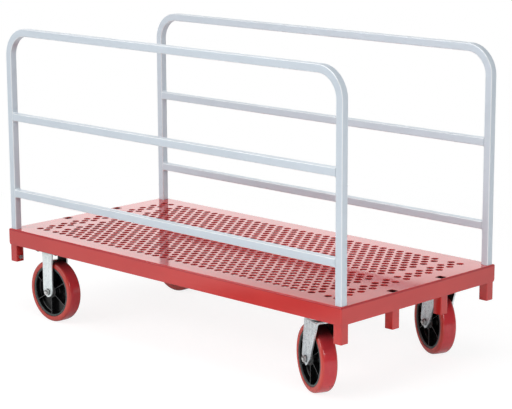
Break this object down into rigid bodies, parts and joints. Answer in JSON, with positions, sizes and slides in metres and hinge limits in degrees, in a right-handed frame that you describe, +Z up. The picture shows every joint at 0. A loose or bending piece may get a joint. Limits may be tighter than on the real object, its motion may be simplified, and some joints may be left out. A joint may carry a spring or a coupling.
{
  "type": "panel cart",
  "caption": "Panel cart: perforated steel deck on rigid and swivel casters, with lift-out hoops of square tube along both long sides.",
  "frame": {"origin": "on the floor under the middle of the deck", "axes": "+X along the deck towards the swivel casters, +Z up, the hoops stand at -Y and +Y"},
  "size_m": [1.5, 0.714, 0.985],
  "materials": {
    "red_powder_coat": "glossy red powder coat on sheet steel",
    "silver_paint": "light silver-grey semi-gloss paint on square steel tube",
    "zinc_plate": "bright zinc plate on pressed steel and fasteners",
    "black_nylon": "moulded black nylon, lightly glossy on its edges",
    "red_polyurethane": "smooth red polyurethane tread",
    "bushing_steel": "plain turned steel"
  },
  "bodies": {
    "deck_frame": {"axle_bolt_rear_left": "zinc_plate", "axle_bolt_rear_right": "zinc_plate", "axle_nut_rear_left": "zinc_plate", "axle_nut_rear_right": "zinc_plate", "bushing_rear_left": "bushing_steel", "bushing_rear_right": "bushing_steel", "caster_channel_front": "red_powder_coat", "caster_channel_rear": "red_powder_coat", "centre_beam": "red_powder_coat", "deck_pan": "red_powder_coat", "fork_rear_left": "zinc_plate", "fork_rear_right": "zinc_plate", "kingpin_front_left": "zinc_plate", "kingpin_front_right": "zinc_plate", "plate_front_left": "zinc_plate", "plate_front_right": "zinc_plate", "socket_front_1": "red_powder_coat", "socket_front_2": "red_powder_coat", "socket_front_3": "red_powder_coat", "socket_front_4": "red_powder_coat", "socket_rear_1": "red_powder_coat", "socket_rear_2": "red_powder_coat", "socket_rear_3": "red_powder_coat", "socket_rear_4": "red_powder_coat", "stop_screw_front_1": "zinc_plate", "stop_screw_front_2": "zinc_plate", "stop_screw_front_3": "zinc_plate", "stop_screw_front_4": "zinc_plate", "stop_screw_rear_1": "zinc_plate", "stop_screw_rear_2": "zinc_plate", "stop_screw_rear_3": "zinc_plate", "stop_screw_rear_4": "zinc_plate"},
    "panel_right": {"hoop_right": "silver_paint", "low_rail_right": "silver_paint", "mid_rail_right": "silver_paint"},
    "panel_left": {"hoop_left": "silver_paint", "low_rail_left": "silver_paint", "mid_rail_left": "silver_paint"},
    "yoke_front_right": {"axle_bolt_front_right": "zinc_plate", "axle_nut_front_right": "zinc_plate", "bushing_front_right": "bushing_steel", "race_front_right": "zinc_plate", "yoke_front_right": "zinc_plate"},
    "yoke_front_left": {"axle_bolt_front_left": "zinc_plate", "axle_nut_front_left": "zinc_plate", "bushing_front_left": "bushing_steel", "race_front_left": "zinc_plate", "yoke_front_left": "zinc_plate"},
    "wheel_rear_right": {"hub_core_rear_right": "black_nylon", "tread_rear_right": "red_polyurethane"},
    "wheel_rear_left": {"hub_core_rear_left": "black_nylon", "tread_rear_left": "red_polyurethane"},
    "wheel_front_right": {"hub_core_front_right": "black_nylon", "tread_front_right": "red_polyurethane"},
    "wheel_front_left": {"hub_core_front_left": "black_nylon", "tread_front_left": "red_polyurethane"}
  },
  "joints": [
    {"name": "lift_panel_right", "type": "slide", "parent": "deck_frame", "child": "panel_right", "axis": [0, 0, 1], "range_m": [0, 0.11]},
    {"name": "lift_panel_left", "type": "slide", "parent": "deck_frame", "child": "panel_left", "axis": [0, 0, 1], "range_m": [0, 0.11]},
    {"name": "swivel_front_right", "type": "hinge", "parent": "deck_frame", "child": "yoke_front_right", "pos_m": [0.602, -0.276, 0.2281], "axis": [0, 0, 1], "continuous": true},
    {"name": "swivel_front_left", "type": "hinge", "parent": "deck_frame", "child": "yoke_front_left", "pos_m": [0.602, 0.276, 0.2281], "axis": [0, 0, 1], "continuous": true},
    {"name": "spin_rear_right", "type": "hinge", "parent": "deck_frame", "child": "wheel_rear_right", "pos_m": [-0.597, -0.284, 0.1045], "axis": [0, 1, 0], "continuous": true},
    {"name": "spin_rear_left", "type": "hinge", "parent": "deck_frame", "child": "wheel_rear_left", "pos_m": [-0.597, 0.284, 0.1045], "axis": [0, 1, 0], "continuous": true},
    {"name": "spin_front_right", "type": "hinge", "parent": "yoke_front_right", "child": "wheel_front_right", "pos_m": [0.56937, -0.26079, 0.1045], "axis": [0.4226, 0.9063, 0], "continuous": true},
    {"name": "spin_front_left", "type": "hinge", "parent": "yoke_front_left", "child": "wheel_front_left", "pos_m": [0.56937, 0.29121, 0.1045], "axis": [0.4226, 0.9063, 0], "continuous": true}
  ]
}
